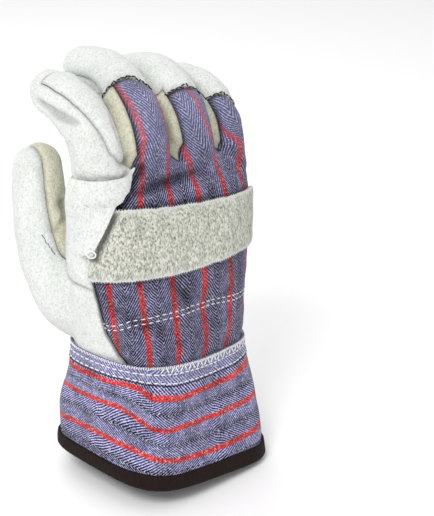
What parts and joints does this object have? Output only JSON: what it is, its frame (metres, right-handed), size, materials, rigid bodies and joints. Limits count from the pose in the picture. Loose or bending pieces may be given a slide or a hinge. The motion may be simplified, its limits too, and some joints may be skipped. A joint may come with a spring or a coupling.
{
  "type": "rigger glove",
  "caption": "Right-hand rigger glove with split leather palm and fingers, striped cloth back, knuckle strap and a flared cloth cuff with bound hem, held in its worn, curled form",
  "frame": {"origin": "middle of the cuff's mouth, where the wrist goes in", "axes": "+Z from the cuff to the fingers, -Y out of the back of the hand, -X to the thumb side"},
  "size_m": [0.1081, 0.1004, 0.2041],
  "materials": {
    "white_split": "off-white split cowhide with a short fuzzy nap",
    "cream_split": "cream split cowhide, a little yellower, napped",
    "grey_split": "coarse grey-cream split cowhide with hairy raw edges",
    "striped_cloth": "herringbone cotton drill in blue, black and white yarn with red stripes",
    "faded_cloth": "stiffened striped cotton drill, faded, with red stripes round the cuff",
    "brown_tape": "dark brown ribbed binding tape"
  },
  "bodies": {
    "root": {"palm_lower": "white_split", "palm_upper": "white_split", "thumb_outer": "white_split", "thumb_inner": "cream_split", "index_front": "white_split", "index_back": "white_split", "middle_front": "white_split", "ring_front": "white_split", "little_front": "white_split", "tip_middle": "white_split", "tip_ring": "white_split", "tip_little": "white_split", "side_index_middle": "cream_split", "side_middle_ring": "cream_split", "side_ring_little": "cream_split", "back_cloth": "striped_cloth", "knuckle_strap": "grey_split", "index_flap": "white_split", "cuff": "faded_cloth", "cuff_binding": "brown_tape", "wrist_patch": "white_split"}
  },
  "joints": []
}
